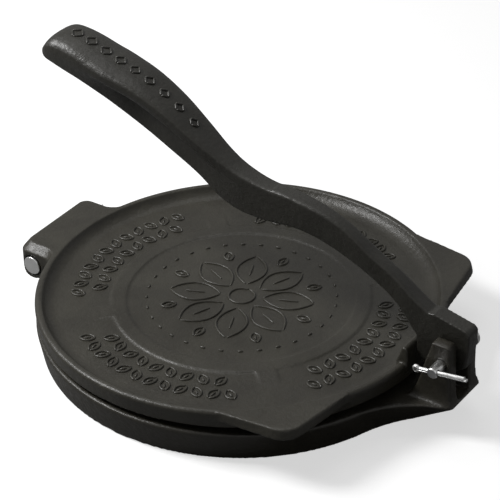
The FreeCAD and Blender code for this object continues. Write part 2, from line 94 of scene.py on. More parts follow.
# Cast iron: dark, light and worn shade of each casting, and its roughness
LID_SHADES = ((0.026, 0.0235, 0.0170), (0.042, 0.0390, 0.0290), (0.066, 0.062, 0.052))
BASE_SHADES = ((0.022, 0.0195, 0.0140), (0.034, 0.0310, 0.0230), (0.055, 0.051, 0.042))
LEVER_SHADES = ((0.019, 0.0178, 0.0140), (0.031, 0.0295, 0.0240), (0.055, 0.053, 0.046))
PLATE_ROUGH = 0.40
LEVER_ROUGH = 0.38

# Cast iron: scales of its noises, its grain, and where an edge counts as worn
MOTTLE_SCALE = 38.0
MOTTLE_RANGE = (0.35, 0.68)
PIT_SCALE = 420.0
PIT_DEPTH = 0.30 * MM
SAND_SCALE = 1500.0
SAND_DEPTH = 0.14 * MM
GRAIN = 0.80
WORN_EDGE_RANGE = (0.53, 0.64)
NOISE_RANGE = (0.3, 0.7)
SMOOTHER = 0.06
ROUGHER = 0.07

# Zinc plate: scales of its noises, its shades and its roughness
CLOUD_SCALE = 260.0
SCRATCH_SCALE = 2400.0
SCRATCH_DEPTH = 0.008 * MM
SCRATCH_STRENGTH = 0.2
ZINC_SHADES = ((0.78, 0.78, 0.77), (0.92, 0.92, 0.91))
ZINC_ROUGH_RANGE = (0.24, 0.38)

# How many straight steps a curve is cut into
ARC_STEPS = 8
RIM_ARC_STEPS = 16
TIP_STEPS = 16
EAR_STEPS = 20
EYE_STEPS = 14
ROD_STEPS = 48
DISC_STEPS = 240
CROWN_STEPS = 6
FLOW_STEPS = 6
WIRE_STEPS = 8
STROKE_SIDES = 6
LEAF_STEPS = 8
LOZENGE_STEPS = 4
CENTRE_RING_STEPS = 28

# How far in the middle of a quarter round lies, as a share of its radius
ROUND_LEAN_SHARE = 1 - math.sqrt(0.5)

# Castings: fineness of the mesh and how far its edges are rounded off
LID_CELL = 0.62 * MM
BASE_CELL = 0.80 * MM
LEVER_CELL = 0.50 * MM
LID_ROUNDS = 5
BASE_ROUNDS = 5
LEVER_ROUNDS = 7
SOFTENING = 0.5
MERGE_DISTANCE = MM / 1000

# Lid, in the places of its solid, with the casting's finer forms
DISC_RADIUS = 106.0 * MM
LID_BOTTOM = 16.7 * MM
LID_FLOOR = 21.3 * MM
LID_TOP = 26.6 * MM
LID_TILT = math.radians(1.04)
RIM_WIDTH = 3.6 * MM
RIM_DRAFT = 1.1 * MM
RIM_ROUND = 2.0 * MM
RIM_WALL_DROP = 1.2 * MM
RIM_WALL_LEAN = 0.7 * MM
COVE_WIDTH = 8.2 * MM
COVE_MIDDLE_SHARES = (0.38, 0.72)
HUB_RADIUS = 1.0 * MM
HUB_PLUG_RADIUS = 2.0 * MM
RING_RADIUS = 58.7 * MM
RING_WIDTH = 8.8 * MM
RING_HEIGHT = 0.8 * MM
SPOKE_WIDTH = 10.0 * MM
SPOKE_LENGTH = 12.0 * MM
NOSE_WIDTH = 22.4 * MM
NOSE_HEIGHT = 9.0 * MM
NOSE_SETBACK = 0.3 * MM
NOSE_TOP_WIDTH = 3.1 * MM
NOSE_FOOT_WIDTH = 6.5 * MM
NOSE_ROUND = 2.6 * MM

# Lifting tabs
TAB_ANGLE = math.radians(45.0)
TAB_FRONT_ROOT = math.radians(18.5)
TAB_BACK_ROOT = math.radians(16.7)
TAB_REACH = 16.7 * MM
TAB_TIP_RADIUS = 12.8 * MM
TAB_THICKNESS = 5.5 * MM
TAB_DRAFT = 1.2 * MM
TAB_ROOT_BLEND = 8.0 * MM

# Hinge wing, its ears and the seat of the pin's head
HINGE_Y = 115.5 * MM
HINGE_Z = 15.0 * MM
WING_HALF = 29.4 * MM
WING_BACK = 8.5 * MM
WING_PLATE = 3.4 * MM
WING_END_LEAN = 4.6 * MM
WING_BACK_LEAN = 2.0 * MM
WING_LEAN_DROP = 3.8 * MM
WING_ROOT_HALF = 33.0 * MM
WING_CORNER_ROUND = 5.0 * MM
WING_BEND_SHARES = (0.72, 0.45)
EAR_INNER = 20.0 * MM
EAR_RADIUS = 8.0 * MM
POCKET_RADIUS = 8.2 * MM
PIN_BORE = 2.95 * MM
HEAD_SEAT_RADIUS = 6.0 * MM
HEAD_SEAT_X = -27.1 * MM
OVERRUN = 2.0 * MM

# Lever: the arm from its waist to the grip's end
PIVOT_Y = -124.5 * MM
PIVOT_Z = 39.0 * MM
ARM_LENGTH = 240.3 * MM
ARM_RISE = 106.0 * MM
ARM_CUT = 0.430
GRIP_WIDTH = 29.0 * MM
CROWN_HEIGHT = 2.4 * MM
LIP_DEPTH = 5.0 * MM
LIP_INSET = 0.9 * MM
FOOT_CORNER = 1.0 * MM
SHOULDER_ROUND = 4.4 * MM
ROUND_START = 0.66
ROUND_FULL = 0.88
TIGHT_CORNER = 5.0
FULL_CORNER = 2.5
FOOT_CORNER_PARTS = 5
BEND_SHARE = 0.9
CAP_EDGE_INDEX = 5
# Rows: place along the arm, shoulder and foot height, top and foot width, crown, groove
ARM_ROWS = (
    (0.384, 0.542, 0.382, 0.334, 0.331, 0.00, 0.00),
    (0.454, 0.546, 0.367, 0.352, 0.345, 0.10, 0.00),
    (0.517, 0.576, 0.371, 0.421, 0.321, 0.30, 0.15),
    (0.562, 0.622, 0.404, 0.490, 0.290, 0.50, 0.45),
    (0.616, 0.694, 0.484, 0.641, 0.276, 0.70, 0.80),
    (0.683, 0.788, 0.560, 0.779, 0.276, 0.90, 1.00),
    (0.753, 0.866, 0.635, 0.890, 0.283, 1.00, 0.95),
    (0.824, 0.918, 0.735, 0.990, 0.540, 1.00, 0.50),
    (0.865, 0.944, 0.798, 0.986, 0.780, 1.10, 0.15),
    (0.902, 0.970, 0.836, 0.960, 0.880, 1.10, 0.00),
    (0.936, 0.985, 0.859, 0.935, 0.905, 1.10, 0.00),
    (0.967, 0.989, 0.878, 0.917, 0.897, 0.90, 0.00),
    (0.984, 0.974, 0.887, 0.880, 0.868, 0.60, 0.00),
    (0.992, 0.955, 0.892, 0.820, 0.810, 0.35, 0.00),
    (0.997, 0.941, 0.897, 0.740, 0.730, 0.20, 0.00),
    (1.000, 0.930, 0.903, 0.650, 0.640, 0.10, 0.00),
)

# Split pins
COTTER_RADIUS = 1.25 * MM
COTTER_GAP = 0.1 * MM
COTTER_EYE_RADIUS = 1.0 * MM
COTTER_BEND = 3.0 * MM
COTTER_LEG_STEP = 1.2 * MM
COTTER_EDGE = COTTER_RADIUS / 8
COTTER_EDGE_STEPS = 2
LEVER_COTTER_PLACE = (-19.4 * MM, PIVOT_Y, PIVOT_Z)
LEVER_COTTER_EYE = 9.4 * MM
LEVER_COTTER_TAIL = 17.0 * MM
LEVER_COTTER_TILT = math.radians(170.8)
HINGE_COTTER_PLACE = (30.8 * MM, HINGE_Y, HINGE_Z)
HINGE_COTTER_EYE = 7.6 * MM
HINGE_COTTER_TAIL = 5.4 * MM
HINGE_COTTER_TILT = math.radians(90.0)

# Ornament on the lid, in four sectors between the spokes, and a rosette in the middle
SECTOR_COUNT = 4
SECTOR_HALF_ANGLE = math.radians(31.0)
INNER_SECTOR_SHARE = 0.86
OUTER_BAND_RADIUS = 84.8 * MM
INNER_BAND_RADIUS = 74.2 * MM
LEAF_LENGTH = 8.4 * MM
LEAF_WIDTH = 5.0 * MM
LEAF_LEAN = 0.5
LEAF_SWELL = 0.8
VEIN_SHARE = 0.22
OUTER_LEAVES = 12
INNER_LEAVES = 9
STROKE_RADIUS = 0.80 * MM
STROKE_HEIGHT = 1.25
STROKE_TAPER = 0.72
PETAL_COUNT = 8
PETAL_START = 11.0 * MM
PETAL_END = 38.0 * MM
PETAL_WIDTH = 16.0 * MM
CENTRE_RING_RADIUS = PETAL_START * 0.62
BEAD_RING_RADIUS = 49.0 * MM
BEAD_COUNT = 32
BEAD_RADIUS = 1.5 * MM
BEAD_STROKE_RADIUS = BEAD_RADIUS * 0.6

# Ornament on the grip
LOZENGE_COUNT = 9
LOZENGE_START = 0.100
LOZENGE_END = 0.028
LOZENGE_LENGTH = 7.0 * MM
LOZENGE_WIDTH = 7.6 * MM
LOZENGE_SHRINK = 0.30


def link(mesh, name):
    """A new object from a mesh, in the scene."""
    piece = bpy.data.objects.new(name, mesh)
    bpy.context.scene.collection.objects.link(piece)
    return piece


def finished(piece):
    """Replaces the piece's mesh by what its modifiers make of it."""
    graph = bpy.context.evaluated_depsgraph_get()
    mesh = bpy.data.meshes.new_from_object(piece.evaluated_get(graph))
    piece.modifiers.clear()
    old = piece.data
    piece.data = mesh
    bpy.data.meshes.remove(old)
    for polygon in mesh.polygons:
        polygon.use_smooth = True
    return piece


# Materials
def nodes_of(name):
    """A material with its node tree and shader."""
    material = bpy.data.materials.new(name)
    material.use_nodes = True
    tree = material.node_tree
    return material, tree, tree.nodes["Principled BSDF"]


def noise_node(tree, coordinates, scale, detail, roughness=0.5):
    """A noise texture in the object's own coordinates."""
    node = tree.nodes.new("ShaderNodeTexNoise")
    node.inputs["Scale"].default_value = scale
    node.inputs["Detail"].default_value = detail
    node.inputs["Roughness"].default_value = roughness
    tree.links.new(coordinates.outputs["Object"], node.inputs["Vector"])
    return node


def ramp_node(tree, source, span, values):
    """Maps a value from one range to another, and holds it within that."""
    node = tree.nodes.new("ShaderNodeMapRange")
    node.inputs["From Min"].default_value = span[0]
    node.inputs["From Max"].default_value = span[1]
    node.inputs["To Min"].default_value = values[0]
    node.inputs["To Max"].default_value = values[1]
    tree.links.new(source, node.inputs["Value"])
    return node


def colour_mix(tree, factor, first, second):
    """A blend of two colours."""
    node = tree.nodes.new("ShaderNodeMix")
    node.data_type = "RGBA"
    node.inputs["A"].default_value = (*first, 1.0)
    node.inputs["B"].default_value = (*second, 1.0)
    tree.links.new(factor, node.inputs["Factor"])
    return node


def bump_node(tree, source, strength, distance):
    """Raises a surface by a value."""
    node = tree.nodes.new("ShaderNodeBump")
    node.inputs["Strength"].default_value = strength
    node.inputs["Distance"].default_value = distance
    tree.links.new(source, node.inputs["Height"])
    return node


def cast_iron(name, shades, roughness):
    """Seasoned cast iron: mottled colour, sandy grain, lighter along its edges, with roughness
    that varies at random.
    """
    dark, light, worn = shades
    material, tree, shader = nodes_of(name)
    coordinates = tree.nodes.new("ShaderNodeTexCoord")
    mottle = noise_node(tree, coordinates, MOTTLE_SCALE, 4.0, 0.6)
    sand = noise_node(tree, coordinates, SAND_SCALE, 3.0, 0.65)
    pits = noise_node(tree, coordinates, PIT_SCALE, 2.0)
    blend = ramp_node(tree, mottle.outputs["Fac"], MOTTLE_RANGE, (0.0, 1.0))
    colour = colour_mix(tree, blend.outputs["Result"], dark, light)
    geometry = tree.nodes.new("ShaderNodeNewGeometry")
    edge = ramp_node(tree, geometry.outputs["Pointiness"], WORN_EDGE_RANGE, (0.0, 1.0))
    wear = colour_mix(tree, edge.outputs["Result"], light, worn)
    tree.links.new(colour.outputs["Result"], wear.inputs["A"])
    tree.links.new(wear.outputs["Result"], shader.inputs["Base Color"])
    rough = ramp_node(tree, pits.outputs["Fac"], NOISE_RANGE,
                      (roughness - SMOOTHER, roughness + ROUGHER))
    tree.links.new(rough.outputs["Result"], shader.inputs["Roughness"])
    shader.inputs["Specular IOR Level"].default_value = 0.50
    coarse = bump_node(tree, pits.outputs["Fac"], GRAIN, PIT_DEPTH)
    fine = bump_node(tree, sand.outputs["Fac"], GRAIN, SAND_DEPTH)
    tree.links.new(coarse.outputs["Normal"], fine.inputs["Normal"])
    tree.links.new(fine.outputs["Normal"], shader.inputs["Normal"])
    return material


def plated_steel(name):
    """Bright zinc plate: pale metal with a faint cloudiness and drawn lines."""
    material, tree, shader = nodes_of(name)
    coordinates = tree.nodes.new("ShaderNodeTexCoord")
    cloud = noise_node(tree, coordinates, CLOUD_SCALE, 3.0)
    scratch = noise_node(tree, coordinates, SCRATCH_SCALE, 2.0)
    colour = colour_mix(tree, cloud.outputs["Fac"], *ZINC_SHADES)
    tree.links.new(colour.outputs["Result"], shader.inputs["Base Color"])
    shader.inputs["Metallic"].default_value = 1.0
    rough = ramp_node(tree, cloud.outputs["Fac"], NOISE_RANGE, ZINC_ROUGH_RANGE)
    tree.links.new(rough.outputs["Result"], shader.inputs["Roughness"])
    bump = bump_node(tree, scratch.outputs["Fac"], SCRATCH_STRENGTH, SCRATCH_DEPTH)
    tree.links.new(bump.outputs["Normal"], shader.inputs["Normal"])
    return material


LID_IRON = cast_iron("lid_iron", LID_SHADES, PLATE_ROUGH)
BASE_IRON = cast_iron("base_iron", BASE_SHADES, PLATE_ROUGH)
LEVER_IRON = cast_iron("lever_iron", LEVER_SHADES, LEVER_ROUGH)
STEEL = plated_steel("plated_steel")


# Outlines and closed forms
def polar(radius, angle):
    """A point in the plane from its radius and angle."""
    return Vector((radius * math.cos(angle), radius * math.sin(angle)))


def arc_points(first, middle, last, steps=ARC_STEPS):
    """Places on the circle through three points, without the first one."""
    ax, ay = first
    bx, by = middle[0] - ax, middle[1] - ay
    cx, cy = last[0] - ax, last[1] - ay
    twice = 2 * (bx * cy - by * cx)
    ux = (cy * (bx * bx + by * by) - by * (cx * cx + cy * cy)) / twice
    uy = (bx * (cx * cx + cy * cy) - cx * (bx * bx + by * by)) / twice
    radius = math.hypot(ux, uy)
    start = math.atan2(-uy, -ux)
    half = (math.atan2(by - uy, bx - ux) - start + math.pi) % (2 * math.pi) - math.pi
    rest = (math.atan2(cy - uy, cx - ux) - start - half + math.pi) % (2 * math.pi) - math.pi
    sweep = half + rest
    return [Vector((ax + ux + radius * math.cos(start + sweep * step / steps),
                    ay + uy + radius * math.sin(start + sweep * step / steps)))
            for step in range(1, steps + 1)]


def skin(mesh, rings, closed=False):
    """Faces between rings of places, with a cap at each end unless they close on themselves."""
    made = [[mesh.verts.new(place) for place in ring] for ring in rings]
    pairs = list(zip(made, made[1:])) + ([(made[-1], made[0])] if closed else [])
    for first, second in pairs:
        for index in range(len(first)):
            after = (index + 1) % len(first)
            mesh.faces.new((first[index], first[after], second[after], second[index]))
    if not closed:
        mesh.faces.new(made[0][::-1])
        mesh.faces.new(made[-1])


def turned(mesh, section):
    """A ring turned about the Z axis from a closed section of (radius, height) places."""
    rings = []
    for step in range(DISC_STEPS):
        angle = 2 * math.pi * step / DISC_STEPS
        rings.append([(radius * math.cos(angle), radius * math.sin(angle), height)
                      for radius, height in section])
    skin(mesh, rings, closed=True)


def side_prism(mesh, outline, x_low, x_high, angle=0.0):
    """An outline of (y, z) places drawn out along X, turned about Z."""
    turn = Matrix.Rotation(angle, 3, "Z")
    skin(mesh, [[turn @ Vector((x, y, z)) for y, z in outline] for x in (x_low, x_high)])


def rod_outline(radius, y, z):
    """A circle of (y, z) places."""
    return [(y + radius * math.cos(2 * math.pi * step / ROD_STEPS),
             z + radius * math.sin(2 * math.pi * step / ROD_STEPS)) for step in range(ROD_STEPS)]


def made_piece(mesh, name):
    """Turns a form into an object."""
    data = bpy.data.meshes.new(name)
    mesh.to_mesh(data)
    mesh.free()
    return link(data, name)


def solid_piece(mesh, name):
    """Turns a closed form into an object with its faces outward."""
    bmesh.ops.recalc_face_normals(mesh, faces=mesh.faces)
    return made_piece(mesh, name)


def carve(piece, tool, operation):
    """Cuts one closed form by another, which is then gone."""
    cut = piece.modifiers.new("cut", "BOOLEAN")
    cut.object = tool
    cut.operation = operation
    cut.solver = "EXACT"
    finished(piece)
    bpy.data.meshes.remove(tool.data)


# Castings
def softened(piece, node, body, material, cell, rounds):
    """A cast piece: closed forms made one, with every edge softened, as sand casting leaves it."""
    remesh = piece.modifiers.new("even", "REMESH")
    remesh.mode = "VOXEL"
    remesh.voxel_size = cell
    smooth = piece.modifiers.new("soft", "SMOOTH")
    smooth.factor = SOFTENING
    smooth.iterations = rounds
    finished(piece)
    piece.data.materials.clear()
    piece.data.materials.append(material)
    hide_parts(node)
    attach(piece, body)
    return piece


def base_casting():
    """The base, from its solid."""
    piece = link(frame["nodes"]["base"].data.copy(), "base_casting")
    softened(piece, "base", "base", BASE_IRON, BASE_CELL, BASE_ROUNDS)


def rim_section():
    """Half a section of the lid's plate, cove and rim."""
    inner = DISC_RADIUS - RIM_WIDTH
    wall_end = (inner - RIM_WALL_LEAN, LID_TOP - RIM_WALL_DROP)
    cove_end = (wall_end[0] - COVE_WIDTH, LID_FLOOR)
    cove_middle = (wall_end[0] - COVE_WIDTH * COVE_MIDDLE_SHARES[0],
                   wall_end[1] - (wall_end[1] - LID_FLOOR) * COVE_MIDDLE_SHARES[1])
    lean = RIM_ROUND * ROUND_LEAN_SHARE
    round_start = (DISC_RADIUS, LID_TOP - RIM_ROUND)
    round_middle = (DISC_RADIUS - lean, LID_TOP - lean)
    round_end = (DISC_RADIUS - RIM_ROUND, LID_TOP)
    section = [(HUB_RADIUS, LID_BOTTOM), (DISC_RADIUS - RIM_DRAFT, LID_BOTTOM), round_start]
    section += arc_points(round_start, round_middle, round_end)
    section += [(inner, LID_TOP), wall_end]
    section += arc_points(wall_end, cove_middle, cove_end)
    return section + [(HUB_RADIUS, LID_FLOOR)]


def lid_ring(mesh):
    """The raised ring on the lid's floor and its short fading spokes."""
    low = LID_FLOOR - RING_HEIGHT
    high = LID_FLOOR + RING_HEIGHT
    outer = RING_RADIUS + RING_WIDTH
    turned(mesh, [(RING_RADIUS, low), (outer, low), (outer, LID_FLOOR),
                  (outer - RING_HEIGHT, high), (RING_RADIUS + RING_HEIGHT, high),
                  (RING_RADIUS, LID_FLOOR)])
    start = outer - RING_WIDTH / 2
    spoke = [(start, low), (outer + SPOKE_LENGTH, low), (outer + SPOKE_LENGTH, LID_FLOOR),
             (outer, high), (start, high)]
    for index in range(SECTOR_COUNT):
        side_prism(mesh, spoke, -SPOKE_WIDTH / 2, SPOKE_WIDTH / 2,
                   2 * math.pi * (index + 0.5) / SECTOR_COUNT)


def lid_nose(mesh):
    """The block at the front of the rim that the lever presses."""
    outer = -(DISC_RADIUS - NOSE_SETBACK)
    top = LID_TOP + NOSE_HEIGHT
    lean = NOSE_ROUND * ROUND_LEAN_SHARE
    start = (outer, top - NOSE_ROUND)
    outline = [(outer, LID_FLOOR), start]
    outline += arc_points(start, (outer + lean, top - lean), (outer + NOSE_ROUND, top))
    outline += [(outer + NOSE_TOP_WIDTH, top), (outer + NOSE_FOOT_WIDTH, LID_TOP),
                (outer + NOSE_FOOT_WIDTH, LID_FLOOR)]
    side_prism(mesh, outline, -NOSE_WIDTH / 2, NOSE_WIDTH / 2)


def mid_rim_arc(first, last):
    """Places inside the rim from below one place to below another, about the lid's centre."""
    radius = DISC_RADIUS - RIM_WIDTH / 2
    start = math.atan2(first.y, first.x)
    end = math.atan2(last.y, last.x)
    return [polar(radius, start + (end - start) * step / RIM_ARC_STEPS)
            for step in range(RIM_ARC_STEPS + 1)]


def tab_outline(draft):
    """One tab seen from above, pointing along X: blended root corners and a round tip."""
    centre = Vector((DISC_RADIUS + TAB_REACH - TAB_TIP_RADIUS, 0))
    radius = TAB_TIP_RADIUS - draft
    sides = []
    for way, root_angle in ((1, TAB_BACK_ROOT), (-1, TAB_FRONT_ROOT)):
        root = polar(DISC_RADIUS, way * (root_angle - draft / DISC_RADIUS))
        gap = root - centre
        touch = centre + polar(radius, math.atan2(gap.y, gap.x)
                               - way * math.acos(radius / gap.length))
        along = (touch - root).normalized()
        outward = Vector((-along.y, along.x)) * way
        slope = root.dot(along)
        room = DISC_RADIUS - root.dot(outward)
        reach = math.sqrt(slope * slope + 2 * TAB_ROOT_BLEND * room) - slope
        on_side = root + along * reach
        middle = on_side + outward * TAB_ROOT_BLEND
        on_rim = middle.normalized() * DISC_RADIUS
        bend = middle + ((on_side + on_rim) / 2 - middle).normalized() * TAB_ROOT_BLEND
        sides.append([on_rim] + arc_points(on_rim, bend, on_side) + [touch])
    back, front = sides
    tip = arc_points(back[-1], centre + Vector((radius, 0)), front[-1], TIP_STEPS)
    return back + tip[:-1] + front[::-1] + mid_rim_arc(front[0], back[0])


def lifting_tab(mesh, side):
    """A flat tab with leaning sides that runs from the rim to a round tip."""
    turn = Matrix.Rotation(side * TAB_ANGLE - math.pi / 2, 3, "Z")
    rings = []
    for height, draft in ((LID_TOP - TAB_THICKNESS, 0.0), (LID_TOP, TAB_DRAFT)):
        rings.append([turn @ Vector((place.x, place.y * side, height))
                      for place in tab_outline(draft)])
    skin(mesh, rings)


def wing_plan(lean_share):
    """The wing seen from above: flared root, straight ends, rounded back corners."""
    end_x = WING_HALF - WING_END_LEAN * lean_share
    end_y = HINGE_Y + WING_BACK - WING_BACK_LEAN * lean_share
    root_y = math.sqrt(DISC_RADIUS ** 2 - WING_ROOT_HALF ** 2) - RIM_WIDTH / 2
    bend_y = HINGE_Y - EAR_RADIUS
    root = Vector((WING_ROOT_HALF, root_y))
    bend = (WING_ROOT_HALF + (end_x - WING_ROOT_HALF) * WING_BEND_SHARES[0],
            root_y + (bend_y - root_y) * WING_BEND_SHARES[1])
    lean = WING_CORNER_ROUND * ROUND_LEAN_SHARE
    corner = (end_x, end_y - WING_CORNER_ROUND)
    right = [root] + arc_points(root, bend, (end_x, bend_y)) + [Vector(corner)]
    right += arc_points(corner, (end_x - lean, end_y - lean), (end_x - WING_CORNER_ROUND, end_y))
    left = [Vector((-place.x, place.y)) for place in right]
    return right + left[::-1] + mid_rim_arc(left[0], root)[1:-1]


def hinge_wing():
    """The wing at the back of the lid, with an ear at each end and a seat for the pin's head."""
    shoulder = LID_TOP - WING_LEAN_DROP
    hull = bmesh.new()
    skin(hull, [[(place.x, place.y, height) for place in wing_plan(share)]
                for height, share in ((0.0, 0), (shoulder, 0), (LID_TOP, 1))])
    wing = solid_piece(hull, "hinge_wing")
    start_y = HINGE_Y - EAR_RADIUS
    end_y = HINGE_Y + WING_BACK
    front = [(DISC_RADIUS / 2, LID_BOTTOM), (start_y, LID_BOTTOM), (start_y, HINGE_Z)]
    boss = arc_points((start_y, HINGE_Z), (HINGE_Y, HINGE_Z - EAR_RADIUS),
                      (HINGE_Y + EAR_RADIUS, HINGE_Z), EAR_STEPS)
    back = [(end_y, shoulder), (end_y + OVERRUN, LID_TOP + OVERRUN),
            (DISC_RADIUS / 2, LID_TOP + OVERRUN)]
    tools = ((front + boss + back, -WING_HALF - OVERRUN, WING_HALF + OVERRUN, "INTERSECT"),
             ([(HINGE_Y - POCKET_RADIUS, 0), (end_y + OVERRUN, 0),
               (end_y + OVERRUN, LID_TOP - WING_PLATE),
               (HINGE_Y - POCKET_RADIUS, LID_TOP - WING_PLATE)], -EAR_INNER, EAR_INNER,
              "DIFFERENCE"),
             (rod_outline(PIN_BORE, HINGE_Y, HINGE_Z), -WING_HALF - OVERRUN,
              WING_HALF + OVERRUN, "DIFFERENCE"),
             (rod_outline(HEAD_SEAT_RADIUS, HINGE_Y, HINGE_Z), -WING_HALF - OVERRUN,
              HEAD_SEAT_X, "DIFFERENCE"))
    for outline, x_low, x_high, operation in tools:
        form = bmesh.new()
        side_prism(form, outline, x_low, x_high)
        carve(wing, solid_piece(form, "tool"), operation)
    return wing


def lid_casting():
    """The lid: disc with a coved rim, ring, nose, tabs and hinge wing, leaning as it rests."""
    mesh = bmesh.new()
    turned(mesh, rim_section())
    hub = rod_outline(HUB_PLUG_RADIUS, 0.0, 0.0)
    skin(mesh, [[(x, y, height) for x, y in hub] for height in (LID_BOTTOM, LID_FLOOR)])
    lid_ring(mesh)
    lid_nose(mesh)
    for side in (-1, 1):
        lifting_tab(mesh, side)
    bmesh.ops.recalc_face_normals(mesh, faces=mesh.faces)
    wing = hinge_wing()
    mesh.from_mesh(wing.data)
    bpy.data.meshes.remove(wing.data)
    hinge = Matrix.Translation((0, HINGE_Y, HINGE_Z))
    tilt = Matrix.Rotation(-LID_TILT, 4, "X")
    mesh.transform(hinge @ tilt @ hinge.inverted())
    return softened(made_piece(mesh, "lid_casting"), "lid", "lid", LID_IRON,
                    LID_CELL, LID_ROUNDS)


def arm_section(row):
    """One upright section of the arm: a crowned cap over a web with a groove at each side."""
    along, shoulder_share, foot_share, top_share, web_share, crown_share, groove_share = row
    y = PIVOT_Y + ARM_LENGTH * along
    shoulder = PIVOT_Z + ARM_RISE * shoulder_share
    foot = PIVOT_Z + ARM_RISE * foot_share
    cap = GRIP_WIDTH * top_share / 2
    web = GRIP_WIDTH * web_share / 2
    depth = min(LIP_DEPTH, (shoulder - foot) / 2)
    corner = min(FOOT_CORNER, (shoulder - foot) / FOOT_CORNER_PARTS)
    lip_half = cap - LIP_INSET * groove_share
    waist_half = lip_half + (web - lip_half) * groove_share
    lip = shoulder - depth
    waist = lip - (cap - waist_half) / 2
    ease = min(max((along - ROUND_START) / (ROUND_FULL - ROUND_START), 0), 1)
    bend = min(corner + SHOULDER_ROUND * ease, depth * BEND_SHARE)
    power = 2 / (TIGHT_CORNER + (FULL_CORNER - TIGHT_CORNER) * ease)
    half = [(web - corner, foot), (web, foot + corner),
            ((web + waist_half) / 2, (waist + foot + corner) / 2), (waist_half, waist - corner),
            (lip_half, lip)]
    for step in range(CROWN_STEPS):
        angle = math.pi / 2 * step / CROWN_STEPS
        half.append((cap * math.cos(angle) ** power, shoulder - bend
                     + (bend + CROWN_HEIGHT * crown_share) * math.sin(angle) ** power))
    ring = [Vector((x, y, z)) for x, z in half]
    ring.append(Vector((0, y, shoulder + CROWN_HEIGHT * crown_share)))
    return ring + [Vector((-x, y, z)) for x, z in half[::-1]]


def flowing(rings):
    """Rings between the given ones, along smooth curves through them."""
    spans = [(after[CAP_EDGE_INDEX] - before[CAP_EDGE_INDEX]).length
             for before, after in zip(rings, rings[1:])]
    marks = [sum(spans[:index]) for index in range(len(rings))]
    last = len(rings) - 1
    slopes = []
    for index in range(len(rings)):
        low, high = max(index - 1, 0), min(index + 1, last)
        slopes.append([(b - a) / (marks[high] - marks[low])
                       for a, b in zip(rings[low], rings[high])])
    made = []
    for index in range(last):
        span = spans[index]
        for step in range(FLOW_STEPS):
            t = step / FLOW_STEPS
            weights = (2 * t ** 3 - 3 * t * t + 1, (t ** 3 - 2 * t * t + t) * span,
                       3 * t * t - 2 * t ** 3, (t ** 3 - t * t) * span)
            made.append([a * weights[0] + m * weights[1] + b * weights[2] + n * weights[3]
                         for a, m, b, n in zip(rings[index], slopes[index],
                                               rings[index + 1], slopes[index + 1])])
    return made + [rings[-1]]


def lever_casting():
    """The lever: its head and arm from the solid, and the flowing grip beyond the waist."""
    mesh = bmesh.new()
    mesh.from_mesh(frame["nodes"]["lever"].data)
    bmesh.ops.remove_doubles(mesh, verts=mesh.verts, dist=MERGE_DISTANCE)
    cut = bmesh.ops.bisect_plane(mesh, geom=mesh.verts[:] + mesh.edges[:] + mesh.faces[:],
                                 plane_co=(0, PIVOT_Y + ARM_LENGTH * ARM_CUT, 0),
                                 plane_no=(0, 1, 0), clear_outer=True)
    edges = [item for item in cut["geom_cut"] if isinstance(item, bmesh.types.BMEdge)]
    bmesh.ops.edgeloop_fill(mesh, edges=edges)
    skin(mesh, flowing([arm_section(row) for row in ARM_ROWS]))
    return softened(solid_piece(mesh, "lever_casting"), "lever", "lever",
                    LEVER_IRON, LEVER_CELL, LEVER_ROUNDS)


# Split pins
def split_pin(node, body, place, eye, tail, tilt):
    """A half-round wire folded on itself: a long leg, a tapering eye and a shorter leg."""
    reach = COTTER_EYE_RADIUS + COTTER_BEND
    rise = COTTER_GAP + COTTER_BEND
    neck = -eye + math.sqrt(reach * reach - rise * rise)
    meet = COTTER_EYE_RADIUS / reach
    join = Vector((-eye + (neck + eye) * meet, rise * meet))
    half_lean = (math.pi / 2 + math.atan2(rise, neck + eye)) / 2
    bend = (neck - COTTER_BEND * math.cos(half_lean), rise - COTTER_BEND * math.sin(half_lean))
    upper = [Vector((tail + COTTER_LEG_STEP, COTTER_GAP)), Vector((neck, COTTER_GAP))]
    upper += arc_points(upper[-1], bend, join)
    lower = [Vector((point.x, -point.y)) for point in upper[::-1]]
    loop = arc_points(join, (-eye - COTTER_EYE_RADIUS, 0), lower[0], EYE_STEPS)
    lower[-1].x = tail
    path = upper + loop[:-1] + lower
    rings = []
    for index, point in enumerate(path):
        ahead = (path[min(index + 1, len(path) - 1)] - path[max(index - 1, 0)]).normalized()
        outward = Vector((ahead.y, -ahead.x))
        ring = []
        for step in range(WIRE_STEPS + 1):
            angle = math.pi * step / WIRE_STEPS
            spot = point + outward * (COTTER_RADIUS * math.sin(angle))
            ring.append(Vector((-COTTER_RADIUS * math.cos(angle), spot.x, spot.y)))
        rings.append(ring)
    mesh = bmesh.new()
    skin(mesh, rings)
    mesh.transform(Matrix.Translation(place) @ Matrix.Rotation(tilt, 4, "X"))
    piece = solid_piece(mesh, node + "_wire")
    bevel = piece.modifiers.new("edge", "BEVEL")
    bevel.width = COTTER_EDGE
    bevel.segments = COTTER_EDGE_STEPS
    finished(piece)
    piece.data.materials.append(STEEL)
    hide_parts(node)
    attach(piece, body)


# Raised ornament, laid on the finished castings
def surface_of(piece):
    """A search tree over a piece's faces."""
    graph = bpy.context.evaluated_depsgraph_get()
    return BVHTree.FromObject(piece, graph)


def stroke(mesh, places, normals, radius):
    """A raised rounded line along places, half sunk into the surface."""
    rings = []
    last = len(places) - 1
    for index, (place, normal) in enumerate(zip(places, normals)):
        ahead = places[min(index + 1, last)] - places[max(index - 1, 0)]
        across = ahead.cross(normal).normalized()
        taper = STROKE_TAPER if index in (0, last) else 1.0
        ring = []
        for side in range(STROKE_SIDES):
            angle = 2 * math.pi * side / STROKE_SIDES
            offset = across * (math.cos(angle) * radius * taper)
            offset += normal * (math.sin(angle) * radius * STROKE_HEIGHT * taper)
            ring.append(place + offset)
        rings.append(ring)
    skin(mesh, rings)


